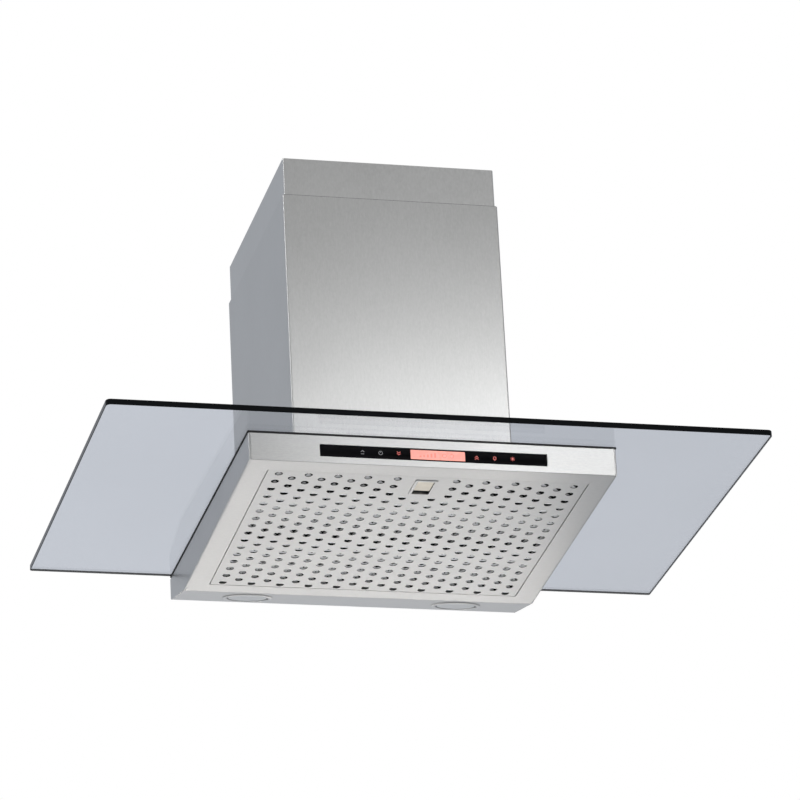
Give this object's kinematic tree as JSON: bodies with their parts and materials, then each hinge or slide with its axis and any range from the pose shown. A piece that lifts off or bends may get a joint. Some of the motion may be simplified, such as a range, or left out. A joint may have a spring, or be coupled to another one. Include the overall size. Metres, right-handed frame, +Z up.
{
  "type": "range hood",
  "caption": "Ceiling-hung range hood: flat glass canopy, wedge steel body with perforated filter, touch strip and lamps, telescopic chimney and blower.",
  "frame": {"origin": "top face of the ceiling plate, on the chimney's axis", "axes": "+Z up into the ceiling, +X along the canopy's long side to the right, +Y to the back, away from the control strip"},
  "size_m": [0.9, 0.605, 0.534],
  "materials": {
    "brushed_steel": "fine vertical brushed stainless",
    "lamp_trim": "satin stainless",
    "galvanised_steel": "dull galvanised",
    "motor_steel": "dark satin",
    "canopy_glass": "clear tempered, faint blue tint, dark polished edge",
    "black_glass": "opaque gloss",
    "display": "back-lit",
    "seal_rubber": "matte",
    "lamp_glass": "frosted",
    "filter_aluminium": "expanded mesh",
    "cream_plastic": "satin",
    "black_plastic": "matte",
    "circuit_board": "solder mask",
    "brass_collar": "turned"
  },
  "bodies": {
    "ceiling_frame": {"ceiling_plate": "galvanised_steel", "upper_chimney_front": "brushed_steel", "upper_chimney_rear": "brushed_steel", "ceiling_upright_left_front": "galvanised_steel", "ceiling_upright_left_rear": "galvanised_steel", "ceiling_upright_right_front": "galvanised_steel", "ceiling_upright_right_rear": "galvanised_steel"},
    "hood": {"front_fascia": "brushed_steel", "side_panel_left": "brushed_steel", "side_panel_right": "brushed_steel", "rear_panel": "brushed_steel", "bottom_frame": "brushed_steel", "lamp_panel": "brushed_steel", "lamp_ring_left": "lamp_trim", "lamp_ring_right": "lamp_trim", "top_plate": "galvanised_steel", "blower_box": "galvanised_steel", "scroll_wrap": "galvanised_steel", "scroll_side_left": "galvanised_steel", "scroll_side_right": "galvanised_steel", "outlet_collar": "galvanised_steel", "motor_bracket": "galvanised_steel", "upright_brace_front": "galvanised_steel", "upright_brace_rear": "galvanised_steel", "hinge_bracket_left": "galvanised_steel", "hinge_bracket_right": "galvanised_steel", "hinge_pin_left": "galvanised_steel", "hinge_pin_right": "galvanised_steel", "damper_pin": "galvanised_steel", "hood_upright_left_front": "galvanised_steel", "hood_upright_left_rear": "galvanised_steel", "hood_upright_right_front": "galvanised_steel", "hood_upright_right_rear": "galvanised_steel", "fan_motor": "motor_steel", "glass_canopy": "canopy_glass", "control_glass": "black_glass", "display_module": "display", "glass_gasket": "seal_rubber", "lamp_lens_left": "lamp_glass", "lamp_lens_right": "lamp_glass", "lamp_housing_left": "black_plastic", "lamp_housing_right": "black_plastic", "run_capacitor": "black_plastic", "junction_box": "black_plastic", "cable_gland": "black_plastic", "control_board": "circuit_board"},
    "lower_cover": {"lower_chimney_front": "brushed_steel", "lower_chimney_rear": "brushed_steel"},
    "filter": {"perforated_panel": "brushed_steel", "filter_frame": "brushed_steel", "filter_mesh": "filter_aluminium", "latch_bezel": "brushed_steel", "latch_spring": "motor_steel"},
    "latch": {"latch_pull": "cream_plastic", "latch_bolt": "galvanised_steel"},
    "fan_wheel": {"impeller": "black_plastic", "motor_shaft": "motor_steel", "impeller_collar": "brass_collar"},
    "damper_front": {"damper_flap_front": "black_plastic"},
    "damper_rear": {"damper_flap_rear": "black_plastic"}
  },
  "joints": [
    {"name": "height_slide", "type": "slide", "parent": "ceiling_frame", "child": "hood", "axis": [0, 0, -1], "range_m": [0, 0.3]},
    {"name": "cover_lift", "type": "slide", "parent": "hood", "child": "lower_cover", "axis": [0, 0, 1], "range_m": [0, 0.045]},
    {"name": "filter_swing", "type": "hinge", "parent": "hood", "child": "filter", "pos_m": [0, 0.06899, -0.52751], "axis": [1, 0, 0], "range_deg": [0, 75]},
    {"name": "latch_slide", "type": "slide", "parent": "filter", "child": "latch", "axis": [0, 0.9996, -0.029], "range_m": [0, 0.006], "stiffness_N_per_m": 400, "deforming": ["latch_spring"]},
    {"name": "fan_spin", "type": "hinge", "parent": "hood", "child": "fan_wheel", "pos_m": [0, 0.01, -0.33], "axis": [1, 0, 0], "continuous": true},
    {"name": "damper_front_lift", "type": "hinge", "parent": "hood", "child": "damper_front", "pos_m": [0, 0.092, -0.1577], "axis": [1, 0, 0], "range_deg": [-80, 0]},
    {"name": "damper_rear_lift", "type": "hinge", "parent": "hood", "child": "damper_rear", "pos_m": [0, 0.092, -0.1577], "axis": [1, 0, 0], "range_deg": [0, 80]}
  ]
}
